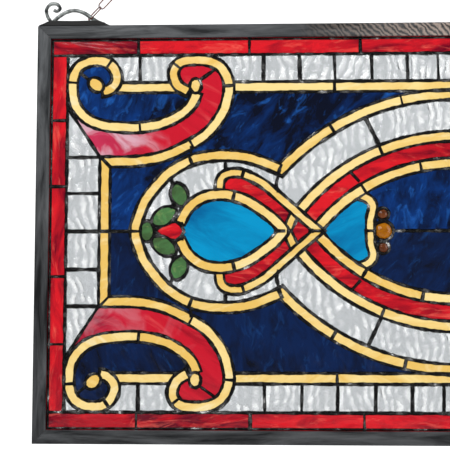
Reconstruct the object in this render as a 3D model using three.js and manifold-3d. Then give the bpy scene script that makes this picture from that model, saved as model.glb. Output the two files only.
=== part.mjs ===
// Victorian scroll-and-ribbon stained glass panel: cut glass joined by solder beads, held in a
// mitred metal channel frame and hung by two scrolled brackets and short chains.
// Millimetres, +Z up, front face towards -Y. The origin lies midway between the two hanging rings.

import * as THREE from 'three';
import { mergeVertices } from 'three/addons/utils/BufferGeometryUtils.js';
import Module from 'manifold-3d';

// ---- driving dimensions -------------------------------------------------------------------
const PANEL_WIDTH = 914.4;
const PANEL_HEIGHT = 457.2;
const MIDDLE = PANEL_WIDTH / 2;
const TOP = PANEL_HEIGHT / 2;

const FRAME_FACE = 15;
const FRAME_DEPTH = 10;
const FRAME_WEB = 1.4;
const FRAME_EDGE_CHAMFER = 1;
const GLASS_IN_CHANNEL = 6;

const GLASS = 3;
const BEAD_DEPTH = 5.4;
const BEAD = 3.4;
const GAP = 0.3;
const FACET = 2.2;
const SLIVER = 0.1;

const BORDER_LINE = 33.5;
const BAND = 8;
const STRAP = 6;
const BAR_FROM_EDGE = 76;
const STRAIGHT_HEIGHT = 158.6;
const PLATE_EDGE = FRAME_FACE - GLASS_IN_CHANNEL;

// The three concentric-looking arcs of the centre ring: height of the crown and radius.
const RING_OUTER = { crown: 149, radius: 257 };
const RING_MIDDLE = { crown: 103, radius: 216 };
const RING_INNER = { crown: 73.5, radius: 193 };

const BRACKET_DEPTH = 8;
const ROD = 3.4;
const WIRE = 1.6;
const LINK_LENGTH = 21;
const LINK_WIDTH = 9;
const LINK_COUNT = 2;
const LINK_BITE = 0.45;
const CHAIN_ANGLE = 47;
const RING_RADIUS = 8;

// ---- finishes ------------------------------------------------------------------------------
const finish = (color, roughness, metalness = 0) => () =>
  new THREE.MeshStandardMaterial({ color, roughness, metalness });
const patinaMetal = finish(0x3b3d40, 0.5, 0.8);
const solder = finish(0x2c2c2e, 0.4, 0.8);
const ironwork = finish(0x5a5f60, 0.45, 0.8);
const bronzeWire = finish(0x5b3f30, 0.45, 0.8);
const redGlass = finish(0xb80f22, 0.15);
const ribbonGlass = finish(0xc4455a, 0.15);
const creamGlass = finish(0xe6cf95, 0.2);
const blueGlass = finish(0x0b1f5c, 0.15);
const turquoiseGlass = finish(0x0486bd, 0.15);
const clearGlass = finish(0xd9dee0, 0.1);
const amberGlass = finish(0xd98a05, 0.1);

// ---- solids --------------------------------------------------------------------------------
const wasm = await Module();
wasm.setup();

function solidFrom(geometry) {
  const bare = geometry.index ? geometry.toNonIndexed() : geometry.clone();
  bare.deleteAttribute('normal');
  bare.deleteAttribute('uv');
  const merged = mergeVertices(bare, 1e-4);
  return new wasm.Manifold(new wasm.Mesh({
    numProp: 3,
    vertProperties: new Float32Array(merged.attributes.position.array),
    triVerts: new Uint32Array(merged.index.array),
  }));
}

// Corners that stand closer to a straight edge than SLIVER are left out.
function geometryFrom(solid) {
  const mesh = solid.asOriginal().simplify(SLIVER).getMesh();
  const geometry = new THREE.BufferGeometry();
  geometry.setAttribute('position', new THREE.BufferAttribute(mesh.vertProperties, 3));
  geometry.setIndex(new THREE.BufferAttribute(mesh.triVerts, 1));
  return geometry;
}

const joined = (solids) => solids.reduce((all, one) => all.add(one));

// A plate of the given thickness standing in the XZ plane, centred on Y = 0.
function plate(outline, depth) {
  const shape = new THREE.Shape(outline);
  const geometry = new THREE.ExtrudeGeometry(shape, { depth, bevelEnabled: false });
  geometry.translate(0, 0, -depth / 2);
  geometry.rotateX(Math.PI / 2);
  return solidFrom(geometry);
}

// ---- lines of the drawing ------------------------------------------------------------------
// Points are [in from the left edge, up from the middle], for the upper left quarter.
const at = ([across, up]) => new THREE.Vector2(across - MIDDLE, up);

// Keeps the fewest points whose chords stay within FACET of all the points between them.
function thinned(points) {
  const strays = (from, to) => {
    const chord = points[to].clone().sub(points[from]);
    const offset = (point) => Math.abs(chord.cross(point.clone().sub(points[from]))) / chord.length();
    return points.slice(from + 1, to).some((point) => offset(point) > FACET);
  };
  const kept = [points[0]];
  let from = 0;
  for (let to = 2; to < points.length; to += 1) {
    if (strays(from, to)) {
      from = to - 1;
      kept.push(points[from]);
    }
  }
  return [...kept, points[points.length - 1]];
}

const curve = (...points) => thinned(new THREE.SplineCurve(points.map(at)).getPoints(points.length * 12));
const line = (...points) => points.map(at);

function ringArc({ crown, radius }, startAcross) {
  const reach = MIDDLE - startAcross;
  const half = Math.asin(reach / radius);
  const steps = Math.ceil(half / 2 / Math.acos(1 - FACET / radius));
  const arc = [];
  for (let step = 0; step <= steps; step += 1) {
    const turn = half * (1 - step / steps);
    arc.push(new THREE.Vector2(-radius * Math.sin(turn), crown - radius + radius * Math.cos(turn)));
  }
  return arc;
}

// The outline of a band of constant width along a line, mitred at corners, grown by so much all round.
function band(path, width, grow = 0) {
  const half = width / 2 + grow;
  const left = [];
  const right = [];
  path.forEach((point, index) => {
    const before = path[Math.max(index - 1, 0)];
    const after = path[Math.min(index + 1, path.length - 1)];
    const into = point.clone().sub(before).normalize();
    const out = after.clone().sub(point).normalize();
    const along = into.clone().add(out).normalize();
    const inside = index > 0 && index < path.length - 1;
    const side = new THREE.Vector2(-along.y, along.x).multiplyScalar(inside ? half / along.dot(out) : half);
    const end = along.clone().multiplyScalar(inside ? 0 : grow * (index ? 1 : -1));
    left.push(point.clone().add(end).add(side));
    right.push(point.clone().add(end).sub(side));
  });
  return [...left, ...right.reverse()];
}

function oval([across, up], halfWidth, halfHeight, tilt, sides = 6) {
  const centre = at([across, up]);
  const outline = [];
  for (let side = 0; side < sides; side += 1) {
    const turn = (side / sides) * 2 * Math.PI;
    const point = new THREE.Vector2(halfWidth * Math.cos(turn), halfHeight * Math.sin(turn));
    outline.push(point.rotateAround(new THREE.Vector2(), THREE.MathUtils.degToRad(tilt)).add(centre));
  }
  return outline;
}

// ---- the drawing, upper left quarter ---------------------------------------------------------
// Cream band round the picture: side bar, mitre, round the ribbon's lower edge and the right volute.
const borderBandPath = [
  ...line([BAR_FROM_EDGE, BEAD / 2]),
  ...curve(
    [BAR_FROM_EDGE, 76.5], [95, 76.5], [112, 77], [134, 80.5], [155, 88.2], [186, 105.8], [203.5, 127.5],
    [210.5, 147], [211.5, 164], [203, 181], [187, 188.5], [166, 188.8], [155.5, 184.5], [150.8, 174],
    [155.8, 161], [167.5, 153.5],
  ),
];
const shortStraightPath = line([88, STRAIGHT_HEIGHT], [153, STRAIGHT_HEIGHT]);
const longStraightPath = line([212, STRAIGHT_HEIGHT], [MIDDLE, STRAIGHT_HEIGHT]);

// S-shaped cream scroll from the left volute's eye round to the right volute's eye.
const scrollPath = curve(
  [72, 154.5], [79, 156], [86.5, 163], [88, 172], [82.5, 183], [72, 188.7], [58, 188.4], [46, 182.5],
  [40.2, 170], [39.9, 152], [44, 137], [56, 124], [73, 117], [94, 114.5], [114, 114.3], [138, 118.5],
  [158, 128], [171, 140], [177, 153],
);
const leftEye = { centre: [65.4, 161.9], width: 8.3, height: 5.9, tilt: -42 };
const rightEye = { centre: [175.2, 159.4], width: 5.8, height: 7.8, tilt: 0 };

// Outline of the rosette, then the outer ring after the cusp.
const CUSP = 267;
const outlinePath = [
  ...curve(
    [109.6, BEAD / 2], [111.5, 11], [120.5, 33.5], [138, 56], [152, 68], [170, 77.6], [188, 81.8],
    [207, 83], [227, 81.5], [246, 76.3], [CUSP, 67.5],
  ),
  ...ringArc(RING_OUTER, CUSP).slice(1),
];

// Hooked strap that crosses its mirror image at the tip of the inner ring.
const strapPath = curve(
  [201.6, 46], [202.6, 55], [208, 61.6], [218, 63.8], [229.5, 61.7], [249.5, 51.3], [271.7, 32.5],
  [294, 12.8], [308, 1],
);
const heartBracketPath = curve([350, 39.5], [360.5, 36], [367, 30], [367.6, 23], [365.4, 14], [364.8, 0]);
const innerRingStart = 306;
const middleRingStart = 287;

// Cream band round the turquoise oval, closed at the crossing.
const ovalBandPath = curve(
  [158.6, 9], [167.4, 25], [182, 36], [197, 39.6], [212, 39], [231.8, 32.7], [256.2, 16.1], [268, 4.5],
);

const amberJewel = { centre: [379.2, 0], width: 8.9, height: 8.9, tilt: 0 };

// Single solder lines between pieces of different glass.
const solderLines = [
  line([BORDER_LINE, 138], [72, 82]),
  line([BORDER_LINE, 81.5], [72, 81.5]),
  line([170.5, 96], [170.5, 78]),
  line([208, 66], [208, 82]),
  line([202, 47], [204, 40]),
  line([266.5, 66], [263, 52], [265, 40]),
  line([158, 9.5], [163, 0]),
  line([270, 0], [306, 0]),
  line([388, 0], [MIDDLE, 0]),
];

// ---- cutting the glass -----------------------------------------------------------------------
const SIDES = { left: 1, right: -1 };
const HALVES = { upper: 1, lower: -1 };
const THROUGH = FRAME_DEPTH;
const SMALLEST_OPENING = 60;

const mirrored = (points, across, up) => points.map(({ x, y }) => new THREE.Vector2(x * across, y * up));
const wholeWidth = (path) => [...path, ...mirrored(path, -1, 1).reverse().slice(1)];
const wholeHeight = (path) => [...path, ...mirrored(path, 1, -1).reverse()];
const grownOval = ({ centre, width, height, tilt }, grow) => oval(centre, width + grow, height + grow, tilt);

// One solid from outlines of the upper left quarter, turned over to the side and half wanted.
function cut(outlines, depth, across, up) {
  return joined(outlines.map((outline) => plate(mirrored(outline, across, up), depth)));
}

function rectangle(inset, depth) {
  const x = MIDDLE - inset;
  const y = TOP - inset;
  const corners = [[-x, -y], [x, -y], [x, y], [-x, y]];
  return plate(corners.map((corner) => new THREE.Vector2(...corner)), depth);
}

// Every cream band as it is drawn, before its neighbours cut it, grown by so much all round.
function creamDrawn(grow, depth) {
  const drawn = {};
  for (const [side, across] of Object.entries(SIDES)) {
    const sideways = [band(wholeHeight(ovalBandPath), BAND, grow)];
    drawn[`cream_oval_band_${side}`] = cut(sideways, depth, across, 1);
    for (const [half, up] of Object.entries(HALVES)) {
      const scroll = [band(scrollPath, BAND, grow), grownOval(leftEye, grow), grownOval(rightEye, grow)];
      drawn[`cream_scroll_${half}_${side}`] = cut(scroll, depth, across, up);
    }
  }
  for (const [half, up] of Object.entries(HALVES)) {
    const border = [borderBandPath, shortStraightPath].map((path) => band(path, BAND, grow));
    const straight = [band(wholeWidth(longStraightPath), BAND, grow)];
    const outline = [band(wholeWidth(outlinePath), BAND, grow)];
    const middle = [band(wholeWidth(ringArc(RING_MIDDLE, middleRingStart)), BAND, grow)];
    const inner = [band(wholeWidth(ringArc(RING_INNER, innerRingStart)), BAND, grow)];
    const straps = [strapPath, heartBracketPath].map((path) => band(path, STRAP, grow));
    const bothSides = (outlines) => cut(outlines, depth, 1, up).add(cut(outlines, depth, -1, up));
    drawn[`cream_border_band_${half}`] = joined([bothSides(border), cut(straight, depth, 1, up)]);
    drawn[`cream_outline_${half}`] = cut(outline, depth, 1, up);
    drawn[`cream_middle_ring_${half}`] = cut(middle, depth, 1, up);
    drawn[`cream_knot_${half}`] = bothSides(straps).add(cut(inner, depth, 1, up));
  }
  return drawn;
}

// A band gives way to the bands listed for it, and upper and lower halves part along the middle.
const GIVES_WAY = {
  cream_border_band: ['cream_scroll'],
  cream_middle_ring: ['cream_knot'],
  cream_outline: [],
  cream_oval_band: ['cream_knot'],
  cream_scroll: [],
  cream_knot: [],
};

function creamPieces(shrink, depth) {
  const drawn = creamDrawn(-shrink, depth);
  const keptClear = creamDrawn(BEAD + shrink, depth);
  const middleLine = plate(band(line([0, 0], [PANEL_WIDTH, 0]), BEAD, shrink), depth);
  const pieces = {};
  for (const [name, solid] of Object.entries(drawn)) {
    const kind = Object.keys(GIVES_WAY).find((start) => name.startsWith(start));
    const wins = (other) => GIVES_WAY[kind].some((start) => other.startsWith(start));
    const winners = Object.keys(drawn).filter(wins);
    const bare = winners.reduce((rest, other) => rest.subtract(keptClear[other]), solid);
    pieces[name] = /_(upper|lower)$/.test(name) ? bare.subtract(middleLine) : bare;
  }
  return { pieces, keptClear: joined(Object.values(keptClear)) };
}

// A point inside each larger piece of the ground, in the upper left quarter, and where it repeats.
const GROUNDS = [
  { name: 'clear_row', seed: [300, 180], glass: clearGlass, repeats: 'halves' },
  { name: 'clear_column', seed: [50, 20], glass: clearGlass, repeats: 'sides' },
  { name: 'clear_crescent', seed: [150, 45], glass: clearGlass, repeats: 'sides' },
  { name: 'clear_ring', seed: [340, 95], glass: clearGlass, repeats: 'halves' },
  { name: 'red_ring', seed: [340, 51], glass: redGlass, repeats: 'halves' },
  { name: 'blue_scroll_ground', seed: [110, 135], glass: blueGlass, repeats: 'quarters' },
  { name: 'blue_side_field', seed: [90, 20], glass: blueGlass, repeats: 'sides' },
  { name: 'blue_spandrel', seed: [260, 120], glass: blueGlass, repeats: 'quarters' },
  { name: 'blue_centre_field', seed: [440, 20], glass: blueGlass, repeats: 'halves' },
  { name: 'red_ribbon', seed: [140, 100], glass: ribbonGlass, repeats: 'quarters' },
  { name: 'turquoise_oval', seed: [210, 0], glass: turquoiseGlass, repeats: 'sides' },
  { name: 'turquoise_heart', seed: [340, 0], glass: turquoiseGlass, repeats: 'sides' },
  { name: 'red_almond', seed: [240, 43], glass: redGlass, repeats: 'quarters' },
];

const REPEATS = {
  halves: Object.entries(HALVES).map(([half, up]) => ({ suffix: `_${half}`, across: 1, up })),
  sides: Object.entries(SIDES).map(([side, across]) => ({ suffix: `_${side}`, across, up: 1 })),
  quarters: Object.entries(HALVES).flatMap(([half, up]) => (
    Object.entries(SIDES).map(([side, across]) => ({ suffix: `_${half}_${side}`, across, up })))),
};

// The picture inside the border line, less every band, jewel and solder line.
function groundPieces(shrink, depth, keptClear, rims) {
  let ground = rectangle(BORDER_LINE + BEAD / 2 + shrink, depth).subtract(keptClear).subtract(rims);
  for (const { across, up } of REPEATS.quarters) {
    const lines = solderLines.map((points) => band(points, BEAD, shrink));
    ground = ground.subtract(cut(lines, depth, across, up));
  }
  return ground.decompose().filter((piece) => piece.volume() > SMALLEST_OPENING * depth);
}

function jewels(grow, depth) {
  const found = {};
  for (const [side, across] of Object.entries(SIDES)) {
    found[`amber_jewel_${side}`] = cut([grownOval(amberJewel, grow)], depth, across, 1);
  }
  return found;
}

function cutGlass(shrink, depth) {
  const { pieces, keptClear } = creamPieces(shrink, depth);
  const rims = joined(Object.values(jewels(BEAD + shrink, depth)));
  const ground = groundPieces(shrink, depth, keptClear, rims);
  return { named: { ...pieces, ...jewels(-shrink, depth) }, ground };
}

function groundAt(pieces, [across, up], mirror) {
  const [seed] = mirrored(line([across, up]), mirror.across, mirror.up);
  const probe = solidFrom(new THREE.BoxGeometry(1, GLASS, 1).translate(seed.x, 0, seed.y));
  return pieces.find((piece) => piece.intersect(probe).volume() > 0);
}

// ---- frame, brackets and chains --------------------------------------------------------------
// One channel member along Z with mitred ends; X runs in from its outer face.
function channelMember(length) {
  const half = FRAME_DEPTH / 2;
  const slot = GLASS / 2 + GAP;
  const outline = [
    [FRAME_EDGE_CHAMFER, -half], [FRAME_FACE, -half], [FRAME_FACE, -slot], [FRAME_WEB, -slot],
    [FRAME_WEB, slot], [FRAME_FACE, slot], [FRAME_FACE, half], [FRAME_EDGE_CHAMFER, half],
    [0, half - FRAME_EDGE_CHAMFER], [0, FRAME_EDGE_CHAMFER - half],
  ];
  const shape = new THREE.Shape(outline.map((point) => new THREE.Vector2(...point)));
  const geometry = new THREE.ExtrudeGeometry(shape, { depth: 1, bevelEnabled: false });
  const position = geometry.attributes.position;
  for (let index = 0; index < position.count; index += 1) {
    const reach = length / 2 - position.getX(index) - GAP / 2;
    position.setZ(index, position.getZ(index) > 0.5 ? reach : -reach);
  }
  return geometry;
}

const rod = (points, steps) => {
  const section = new THREE.Shape();
  section.absellipse(0, 0, ROD / 2, ROD / 2, 0, 2 * Math.PI);
  const extrudePath = new THREE.CatmullRomCurve3(points.map(([x, z]) => new THREE.Vector3(x, 0, z)));
  return solidFrom(new THREE.ExtrudeGeometry(section, { steps, extrudePath, curveSegments: 2 }));
};

// Scrolled hanging bracket, X in from the panel's side edge and Z up from its top edge.
const HOOK_PATH = [
  [16.5, 3], [10.5, 10], [8.4, 19], [13, 25.3], [20, 25.3], [23.6, 20.8], [20.5, 17.3], [17, 18.6],
];
const ARCH_PATH = [
  [14, 2.6], [20, 9], [29.5, 15.5], [39.5, 18], [49.5, 15.5], [58.3, 10], [66, 5], [74, 1.8],
];
const FOOT = [[1.8, 0.5], [14.3, 5], [22, 5.4], [58, 5.4], [64, 6.4], [78.3, 0.5], [76, GAP], [4, GAP]];

function bracket(across) {
  const foot = plate(FOOT.map(([x, z]) => new THREE.Vector2(x, z)), BRACKET_DEPTH);
  const whole = joined([foot, rod(HOOK_PATH, 9), rod(ARCH_PATH, 7)]);
  return across > 0 ? whole : whole.mirror([1, 0, 0]);
}

// A long link lying along X: a torus whose two halves are drawn apart.
function link(length, width, wire, corners = 6) {
  const geometry = new THREE.TorusGeometry((width - wire) / 2, wire / 2, 4, corners);
  const position = geometry.attributes.position;
  for (let index = 0; index < position.count; index += 1) {
    const x = position.getX(index);
    position.setX(index, x + Math.sign(x) * ((length - width) / 2));
  }
  return geometry;
}

// Where the arch passes through the first link's end, and the run of the chain from there.
const HELD = { x: 58.3, z: 10.2 };
const FIRST_TWIST = 20;
const RUN = new THREE.Vector2(1, 0).rotateAround(new THREE.Vector2(), THREE.MathUtils.degToRad(CHAIN_ANGLE));
const LINK_REACH = LINK_LENGTH - WIRE;
const CHAIN_START = (WIRE - LINK_WIDTH) / 2;
const LINK_PITCH = LINK_REACH - WIRE + LINK_BITE;
const RING_DISTANCE = CHAIN_START + LINK_COUNT * LINK_PITCH + RING_RADIUS;
const RING_PLACE = { x: HELD.x + RUN.x * RING_DISTANCE, z: HELD.z + RUN.y * RING_DISTANCE };

function chain(across) {
  const angle = THREE.MathUtils.degToRad(CHAIN_ANGLE);
  const pieces = [];
  for (let count = 0; count < LINK_COUNT; count += 1) {
    const middle = CHAIN_START + count * LINK_PITCH + LINK_REACH / 2;
    const twist = THREE.MathUtils.degToRad(FIRST_TWIST + count * 90);
    const geometry = link(LINK_LENGTH, LINK_WIDTH, WIRE).rotateX(twist).rotateY(-angle);
    pieces.push(geometry.translate(HELD.x + RUN.x * middle, 0, HELD.z + RUN.y * middle));
  }
  const ring = link(2 * RING_RADIUS + WIRE, 2 * RING_RADIUS + WIRE, WIRE, 8).rotateX(Math.PI / 2);
  pieces.push(ring.translate(RING_PLACE.x, 0, RING_PLACE.z));
  const whole = joined(pieces.map(solidFrom));
  return across > 0 ? whole : whole.mirror([1, 0, 0]);
}

// ---- the whole window ------------------------------------------------------------------------
const stainedGlassWindow = new THREE.Group();
const panel = new THREE.Group();
panel.position.z = -(TOP + RING_PLACE.z);
stainedGlassWindow.add(panel);

function place(name, geometry, material, parent = panel) {
  const mesh = new THREE.Mesh(geometry, material());
  mesh.name = name;
  parent.add(mesh);
  return mesh;
}

const FRAME_MEMBERS = [
  { name: 'frame_left', length: PANEL_HEIGHT, x: -MIDDLE, z: 0, turn: [0, 0, 0] },
  { name: 'frame_right', length: PANEL_HEIGHT, x: MIDDLE, z: 0, turn: [0, 0, Math.PI] },
  { name: 'frame_top', length: PANEL_WIDTH, x: 0, z: TOP, turn: [0, Math.PI / 2, 0] },
  { name: 'frame_bottom', length: PANEL_WIDTH, x: 0, z: -TOP, turn: [0, -Math.PI / 2, 0] },
];
for (const { name, length, x, z, turn } of FRAME_MEMBERS) {
  const member = place(name, channelMember(length), patinaMetal);
  member.position.set(x, 0, z);
  member.rotation.set(...turn);
}

for (const [side, across] of Object.entries(SIDES)) {
  const corner = new THREE.Group();
  corner.position.set(-MIDDLE * across, 0, TOP);
  panel.add(corner);
  place(`bracket_${side}`, geometryFrom(bracket(across)), ironwork, corner);
  place(`chain_${side}`, geometryFrom(chain(across)), bronzeWire, corner);
}

const NAMED_GLASS = { cream: creamGlass, amber: amberGlass };
const glass = cutGlass(GAP, GLASS);
for (const [name, solid] of Object.entries(glass.named)) {
  place(name, geometryFrom(solid), NAMED_GLASS[name.split('_')[0]]);
}
for (const { name, seed, glass: material, repeats } of GROUNDS) {
  for (const mirror of REPEATS[repeats]) {
    place(name + mirror.suffix, geometryFrom(groundAt(glass.ground, seed, mirror)), material);
  }
}

const border = rectangle(PLATE_EDGE, GLASS).subtract(rectangle(BORDER_LINE - BEAD / 2 - GAP, GLASS));
place('red_border', geometryFrom(border), redGlass);

const openings = cutGlass(0, THROUGH);
const solderwork = rectangle(BORDER_LINE - BEAD / 2, BEAD_DEPTH)
  .subtract(joined(Object.values(openings.named)))
  .subtract(joined(openings.ground));
place('solderwork', geometryFrom(solderwork), solder);

export default stainedGlassWindow;
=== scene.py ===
import math
import random

import bmesh
import bpy
from mathutils import Matrix, Vector
from mathutils.bvhtree import BVHTree
from mathutils.geometry import delaunay_2d_cdt


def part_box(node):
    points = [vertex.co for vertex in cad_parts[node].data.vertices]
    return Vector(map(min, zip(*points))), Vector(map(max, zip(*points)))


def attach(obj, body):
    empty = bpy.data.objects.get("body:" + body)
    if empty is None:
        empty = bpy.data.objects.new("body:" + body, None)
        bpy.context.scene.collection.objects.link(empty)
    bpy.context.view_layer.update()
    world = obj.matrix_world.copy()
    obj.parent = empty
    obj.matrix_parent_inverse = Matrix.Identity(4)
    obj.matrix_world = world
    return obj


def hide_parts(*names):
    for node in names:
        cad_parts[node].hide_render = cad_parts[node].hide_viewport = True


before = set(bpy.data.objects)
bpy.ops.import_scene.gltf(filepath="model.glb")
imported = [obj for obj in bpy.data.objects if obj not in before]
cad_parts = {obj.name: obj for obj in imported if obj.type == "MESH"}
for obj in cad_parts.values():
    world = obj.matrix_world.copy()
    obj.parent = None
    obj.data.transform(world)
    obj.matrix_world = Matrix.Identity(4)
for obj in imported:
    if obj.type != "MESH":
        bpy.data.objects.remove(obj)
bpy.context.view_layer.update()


# The drawing that the glass is cut to: the upper left quarter, turned over for the other three.
# A pattern is laid out like this at full size before any glass is cut, in millimetres in from the
# left edge and up from the middle, and every solder line runs along a line of it.
random.seed(36)
MM = 0.001
PANEL_WIDTH = 914.4
PANEL_HEIGHT = 457.2
MIDDLE = PANEL_WIDTH / 2
TOP = PANEL_HEIGHT / 2
GLASS = 3.0
BAND = 8.0
STRAP = 6.0
BEAD = 3.4
BORDER_LINE = 33.5
CHANNEL_FLOOR = 9.5
low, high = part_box("frame_left")
PANEL_CENTRE = (low[2] + high[2]) / 2


def spline(points, step=2.0):
    """A smooth curve through the points, sampled about every step."""
    points = [Vector(point) for point in points]
    last = len(points) - 1
    samples = [points[0]]
    for index in range(last):
        start, stop = points[index], points[index + 1]
        leaving = (stop - points[max(index - 1, 0)]) / 2
        arriving = (points[min(index + 2, last)] - start) / 2
        count = max(3, math.ceil((stop - start).length / step))
        for part in range(1, count + 1):
            t = part / count
            samples.append(
                start * (2 * t**3 - 3 * t**2 + 1)
                + leaving * (t**3 - 2 * t**2 + t)
                + stop * (3 * t**2 - 2 * t**3)
                + arriving * (t**3 - t**2)
            )
    return samples


def straight(*points, step=2.0):
    """Straight lines from point to point, sampled about every step."""
    points = [Vector(point) for point in points]
    samples = [points[0]]
    for start, stop in zip(points, points[1:]):
        count = max(1, math.ceil((stop - start).length / step))
        samples += [start.lerp(stop, part / count) for part in range(1, count + 1)]
    return samples


def ring(crown, radius, start_across, step=2.5):
    """An arc of the centre ring, from its left end up to the panel's middle."""
    half = math.asin((MIDDLE - start_across) / radius)
    count = math.ceil(half * radius / step)
    turns = [half * (1 - part / count) for part in range(count + 1)]
    return [
        Vector((MIDDLE - radius * math.sin(turn), crown - radius + radius * math.cos(turn))) for turn in turns
    ]


def oval(centre, half_width, half_height, tilt=0, point=0.0):
    """A closed oval; point draws its ends out like a leaf's."""
    turn = Matrix.Rotation(math.radians(tilt), 2)
    outline = []
    for part in range(33):
        angle = part / 32 * 2 * math.pi
        narrow = 1 - point * abs(math.cos(angle)) ** 3
        spot = Vector((half_width * math.cos(angle), half_height * math.sin(angle) * narrow))
        outline.append(turn @ spot + Vector(centre))
    return outline


def normals(path):
    """The sideways direction at each point, lengthened at a corner so that a band keeps its width."""
    found = []
    for index, point in enumerate(path):
        into = (point - path[index - 1] if index else path[1] - point).normalized()
        out = (path[index + 1] - point if index + 1 < len(path) else into).normalized()
        along = (into + out).normalized()
        found.append(Vector((-along.y, along.x)) / max(along.dot(out), 0.6))
    return found


def distance(point, path):
    """How far a point is from a path."""
    nearest = 1e9
    for start, stop in zip(path, path[1:]):
        along = stop - start
        part = max(0, min(1, (point - start).dot(along) / max(along.length_squared, 1e-9)))
        nearest = min(nearest, (start + along * part - point).length)
    return nearest


def sides(path, half):
    """The closed line round a band of this half width, without the loops on the inside of a bend."""
    slack = 0.2
    across = normals(path)
    left = [point + side * half for point, side in zip(path, across)]
    right = [point - side * half for point, side in zip(path, across)]
    left = [point for point in left if distance(point, path) > half - slack]
    right = [point for point in right if distance(point, path) > half - slack]
    return left + straight(left[-1], right[-1])[1:-1] + right[::-1] + straight(right[0], left[0])[1:]


def enclosed(point, outline):
    """Whether a point lies inside a closed outline."""
    crossings = 0
    for start, stop in zip(outline, outline[1:]):
        if (start.y > point.y) != (stop.y > point.y):
            crossings += start.x + (point.y - start.y) / (stop.y - start.y) * (stop.x - start.x) > point.x
    return crossings % 2 == 1


def clipped(path, winners, shapes=()):
    """The runs of a path outside every winning band and shape, each let in a little at its ends."""
    shortest = 4
    past_the_mirror = -0.9
    path = straight(*path, step=0.8)
    covered = [
        point.y < past_the_mirror
        or any(distance(point, line) < half for line, half in winners)
        or any(enclosed(point, shape) for shape in shapes)
        for point in path
    ]
    runs = []
    run = []
    for index, hidden in enumerate(covered):
        beside = covered[max(index - 2, 0) : index + 3]
        if hidden and all(beside):
            if len(run) > shortest:
                runs.append(run)
            run = []
        else:
            run.append(path[index])
    if len(run) > shortest:
        runs.append(run)
    return runs


def joint_across(path, beside, half):
    """A line straight across a band at the point of its path nearest to the one given."""
    index = min(range(len(path)), key=lambda number: (path[number] - Vector(beside)).length)
    reach = normals(path)[index] * (half + 0.5)
    return [path[index] - reach, path[index] + reach]


edge = BAND / 2 + BEAD / 2
strap_edge = STRAP / 2 + BEAD / 2
border_path = straight((76, -4), (76, 76.5)) + spline(
    [
        (76, 76.5), (95, 76.5), (112, 77), (134, 80.5), (155, 88.2), (186, 105.8), (203.5, 127.5),
        (210.5, 147), (211.5, 164), (203, 181), (187, 188.5), (166, 188.8), (155.5, 184.5), (150.8, 174),
        (155.8, 161), (167.5, 153.5),
    ]
)[1:]
short_straight = straight((84, 158.6), (156, 158.6))
long_straight = straight((206, 158.6), (MIDDLE, 158.6))
scroll_path = spline(
    [
        (72, 154.5), (79, 156), (86.5, 163), (88, 172), (82.5, 183), (72, 188.7), (58, 188.4), (46, 182.5),
        (39.8, 170), (39.4, 152), (44, 137), (56, 124), (73, 117), (94, 114.5), (114, 114.3), (138, 118.5),
        (158, 128), (171, 140), (177, 153),
    ]
)
left_eye = oval((65.0, 162.2), 9.4, 7.4, -42)
right_eye = oval((175.2, 160.4), 6.4, 8.2)
outline_path = (
    spline(
        [
            (109.6, -6), (109.6, 1.7), (111.5, 11), (120.5, 33.5), (138, 56), (152, 68), (170, 77.6),
            (188, 81.8), (207, 83), (227, 81.5), (246, 76.3), (267, 67.5),
        ]
    )
    + ring(149, 257, 267)[1:]
)
middle_ring = ring(103, 216, 284)
inner_ring = ring(73.5, 193, 303)
strap_path = spline(
    [
        (201.4, 41.5), (202.6, 55), (208, 61.6), (218, 63.8), (229.5, 61.7), (249.5, 51.3), (271.7, 32.5),
        (294, 12.8), (308, 1), (316, -7),
    ]
)
tie_path = straight((272.5, -4), (284.5, 21))
heart_bracket = spline(
    [(350, 39.5), (360.5, 36), (367, 30), (367.6, 23), (365.4, 14), (364.8, 0), (364.8, -5)]
)
oval_band = spline(
    [
        (158.6, 9), (167.4, 25), (182, 36), (197, 39.6), (212, 39), (231.8, 32.7), (256.2, 16.1),
        (268, 4.5), (271, 0), (268, -4.5),
    ]
)
bud = straight((130.6, 0), (140, 6.2), (147.5, 9.8), (154, 10.4), (159, 6), (162.4, 0), (162.4, -3))

# Each band's outline, and the bands that it gives way to.
strap_wins = (strap_path, strap_edge)
bands = [
    (scroll_path, edge, []),
    (border_path, edge, [(scroll_path, edge)]),
    (short_straight, edge, [(scroll_path, edge), (border_path, edge)]),
    (long_straight, edge, [(border_path, edge)]),
    (outline_path, edge, []),
    (strap_path, strap_edge, [(oval_band, edge)]),
    (oval_band, edge, []),
    (tie_path, strap_edge, [strap_wins, (oval_band, edge)]),
    (inner_ring, edge, [strap_wins]),
    (middle_ring, edge, [strap_wins]),
    (heart_bracket, strap_edge, [(inner_ring, edge)]),
]
leads = []
for path, half, winners in bands:
    leads += clipped(sides(path, half), winners, [left_eye, right_eye])
leads += [left_eye, right_eye]

jewel_outlines = {
    "leaf_high": oval((157.5, 39.9), 13.6, 9.4, 108, 0.25),
    "leaf_low": oval((141.0, 16.2), 15.5, 9.6, 32, 0.3),
    "leaf_end": oval((122.6, 0), 7.8, 11.4, 0, 0.0),
    "amber": oval((379.2, 0), 10.4, 10.4),
    "brown": oval((378.6, 18.2), 6.6, 6.6),
}
around_jewels = [(outline_path, edge), (oval_band, edge)]
leads += clipped(jewel_outlines["leaf_high"], around_jewels)
leads += clipped(jewel_outlines["leaf_low"], around_jewels)
leads += clipped(jewel_outlines["leaf_end"], [(outline_path, edge)], [jewel_outlines["leaf_low"]])
leads += clipped(bud, [], [jewel_outlines["leaf_low"], jewel_outlines["leaf_end"]])
leads += clipped(jewel_outlines["amber"], [(heart_bracket, strap_edge)])
leads += clipped(jewel_outlines["brown"], [(heart_bracket, strap_edge)])

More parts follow.
